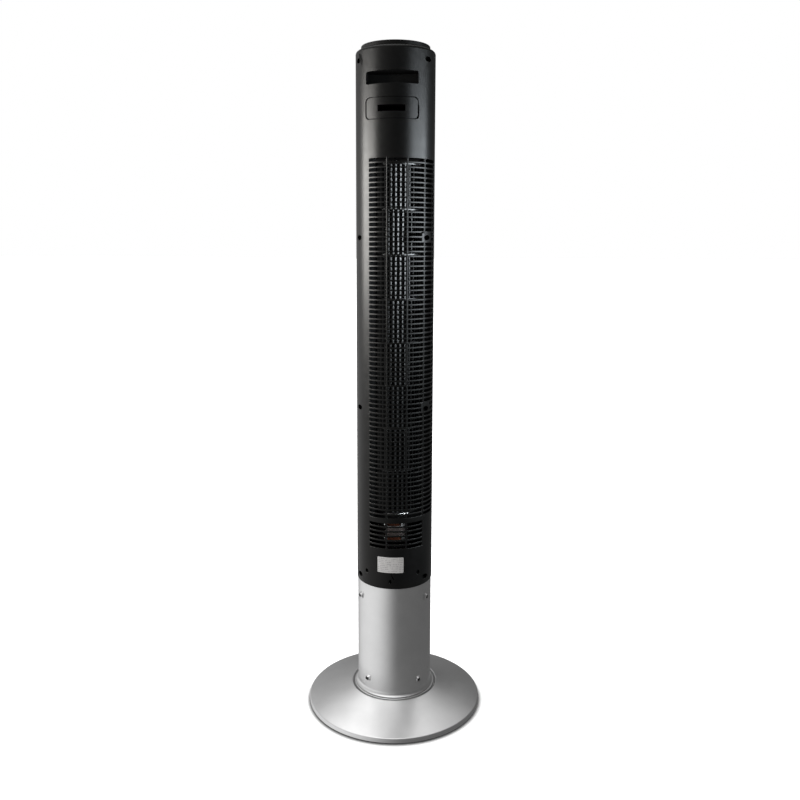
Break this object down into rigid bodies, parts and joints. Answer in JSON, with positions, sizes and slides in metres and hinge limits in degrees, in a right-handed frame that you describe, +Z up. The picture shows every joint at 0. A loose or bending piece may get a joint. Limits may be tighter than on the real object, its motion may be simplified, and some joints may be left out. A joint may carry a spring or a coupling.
{
  "type": "tower fan",
  "caption": "Oscillating tower fan with slotted rear intake grille, top handle recess and remote slot, on a silver column and round base.",
  "frame": {"origin": "centre of the base, on the floor", "axes": "+Z up along the tower's axis; -Y towards the front, where the air comes out; +Y towards the rear, with the intake grille"},
  "size_m": [0.3104, 0.3104, 1.1556],
  "materials": {
    "black_plastic": "satin moulded",
    "gloss_black": "gloss",
    "button_plastic": "satin",
    "silver_plastic": "satin silver paint",
    "steel": "zinc plated",
    "screw_steel": "black zinc",
    "copper_wire": "varnished copper wire",
    "nylon": "natural nylon",
    "rubber": "matt",
    "circuit_board": "solder mask",
    "label_film": "satin film"
  },
  "bodies": {
    "pedestal": {"base_cover": "silver_plastic", "base_ballast": "steel", "cord_gland": "rubber", "column_socket": "silver_plastic", "column": "silver_plastic", "swing_spigot": "black_plastic", "swing_gear": "nylon", "swing_washer": "nylon", "foot_1": "rubber", "foot_2": "rubber", "foot_3": "rubber", "foot_4": "rubber", "column_screw_low_1": "screw_steel", "column_screw_low_2": "screw_steel", "column_screw_low_3": "screw_steel", "column_screw_low_4": "screw_steel", "column_screw_high_1": "screw_steel", "column_screw_high_2": "screw_steel", "column_screw_high_3": "screw_steel"},
    "head": {"chassis_floor": "black_plastic", "swing_motor": "steel", "rear_shell": "black_plastic", "front_shell": "black_plastic", "front_grille": "black_plastic", "handle_cup": "black_plastic", "remote_pocket": "black_plastic", "rating_label": "label_film", "shell_screw_left_1": "screw_steel", "shell_screw_left_2": "screw_steel", "shell_screw_left_3": "screw_steel", "shell_screw_left_4": "screw_steel", "shell_screw_right_1": "screw_steel", "shell_screw_right_2": "screw_steel", "shell_screw_right_3": "screw_steel", "shell_screw_right_4": "screw_steel", "floor_screw_1": "screw_steel", "floor_screw_2": "screw_steel", "floor_screw_3": "screw_steel", "duct_scroll": "black_plastic", "duct_tongue": "black_plastic", "motor_plate": "black_plastic", "top_bracket": "black_plastic", "bearing_bush": "rubber", "stator_core": "steel", "coil_upper": "copper_wire", "coil_lower": "copper_wire", "motor_shield_upper": "steel", "motor_shield_lower": "steel", "motor_lead": "rubber", "top_cap": "black_plastic", "control_panel": "gloss_black", "display_window": "gloss_black", "control_board": "circuit_board"},
    "blower": {"blower_wheel": "black_plastic", "motor_rotor": "steel"},
    "pinion": {"swing_pinion": "nylon"},
    "power_key": {"power_button": "button_plastic"},
    "speed_key": {"speed_button": "button_plastic"},
    "timer_key": {"timer_button": "button_plastic"},
    "swing_key": {"swing_button": "button_plastic"}
  },
  "joints": [
    {"name": "head_swing", "type": "hinge", "parent": "pedestal", "child": "head", "pos_m": [0, 0, 0.2355], "axis": [0, 0, 1], "range_deg": [-40, 40]},
    {"name": "blower_spin", "type": "hinge", "parent": "head", "child": "blower", "pos_m": [0, 0, 0.66], "axis": [0, 0, 1], "continuous": true},
    {"name": "pinion_spin", "type": "hinge", "parent": "head", "child": "pinion", "pos_m": [0, -0.035, 0.245], "axis": [0, 0, 1], "range_deg": [-125, 125]},
    {"name": "power_press", "type": "slide", "parent": "head", "child": "power_key", "axis": [0, 0, -1], "range_m": [0, 0.001], "stiffness_N_per_m": 400, "springref_m": -0.0005},
    {"name": "speed_press", "type": "slide", "parent": "head", "child": "speed_key", "axis": [0, 0, -1], "range_m": [0, 0.001], "stiffness_N_per_m": 400, "springref_m": -0.0005},
    {"name": "timer_press", "type": "slide", "parent": "head", "child": "timer_key", "axis": [0, 0, -1], "range_m": [0, 0.001], "stiffness_N_per_m": 400, "springref_m": -0.0005},
    {"name": "swing_press", "type": "slide", "parent": "head", "child": "swing_key", "axis": [0, 0, -1], "range_m": [0, 0.001], "stiffness_N_per_m": 400, "springref_m": -0.0005}
  ],
  "couplings": [
    {"joint": "pinion_spin", "follows": "head_swing", "ratio": 3}
  ]
}
